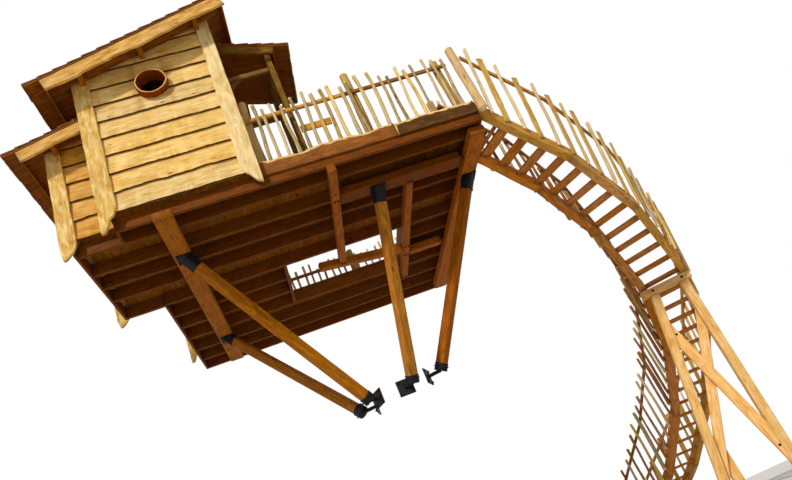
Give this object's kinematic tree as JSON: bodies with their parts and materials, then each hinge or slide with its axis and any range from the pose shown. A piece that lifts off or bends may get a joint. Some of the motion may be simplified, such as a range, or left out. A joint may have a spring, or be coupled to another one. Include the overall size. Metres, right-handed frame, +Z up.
{
  "type": "tree house",
  "caption": "Timber tree house with a lean-to bay and small porch on a railed deck, carried by raking struts on trunk brackets, with a long curved stair on a trestle.",
  "frame": {"origin": "centre of the bearing face of the front trunk bracket pad, where the front strut pushes on the trunk", "axes": "+X to the right along the cabin front, +Y from the front to the back, +Z up"},
  "size_m": [11.2498, 9.2758, 10.0524],
  "materials": {
    "black_steel": "matt black paint",
    "strut_larch": "oiled",
    "beam_larch": "oiled",
    "joist_timber": "sawn",
    "floor_timber": "sawn",
    "waney_board": "sawn, waney edges",
    "lapped_larch": "sawn, oiled",
    "hollow_log": "peeled",
    "roof_boarding": "sawn",
    "red_shakes": "split, weathered",
    "peeled_log": "peeled, weathered",
    "peeled_sticks": "peeled, weathered",
    "handrail_timber": "sawn",
    "stair_larch": "oiled",
    "trestle_larch": "sawn"
  },
  "bodies": {
    "root": {"trunk_brackets": "black_steel", "strut_sockets": "black_steel", "strut_front_left": "strut_larch", "strut_back_left": "strut_larch", "strut_front_right": "strut_larch", "strut_far_right": "strut_larch", "beam_left": "beam_larch", "beam_right": "beam_larch", "beam_middle": "beam_larch", "beam_inner": "beam_larch", "cross_beam": "beam_larch", "trunk_yokes": "beam_larch", "floor_joists": "joist_timber", "rim_boards": "joist_timber", "floor_boards": "floor_timber", "live_edges": "waney_board", "front_wall": "lapped_larch", "left_wall": "lapped_larch", "back_wall": "lapped_larch", "right_wall": "lapped_larch", "bay_front_wall": "lapped_larch", "bay_side_wall": "lapped_larch", "bay_back_wall": "lapped_larch", "window_ring": "hollow_log", "front_corner_boards": "waney_board", "back_corner_boards": "waney_board", "main_purlins": "joist_timber", "main_roof_deck": "roof_boarding", "main_roof_shakes": "red_shakes", "main_fascias": "waney_board", "bay_purlins": "joist_timber", "bay_roof_deck": "roof_boarding", "bay_roof_shakes": "red_shakes", "bay_fascias": "waney_board", "porch_frame": "joist_timber", "porch_brace": "joist_timber", "porch_roof_deck": "roof_boarding", "porch_roof_shakes": "red_shakes", "porch_fascias": "waney_board", "railing_posts": "peeled_log", "front_railing": "peeled_sticks", "right_railing": "peeled_sticks", "back_railing": "peeled_sticks", "left_railing": "peeled_sticks", "handrails": "handrail_timber", "stringer_outer": "stair_larch", "stringer_inner": "stair_larch", "stair_treads": "stair_larch", "stair_sticks_outer": "peeled_sticks", "stair_sticks_inner": "peeled_sticks", "stair_rails": "handrail_timber", "trestle_cap": "trestle_larch", "trestle_legs": "trestle_larch", "trestle_braces": "trestle_larch"}
  },
  "joints": []
}
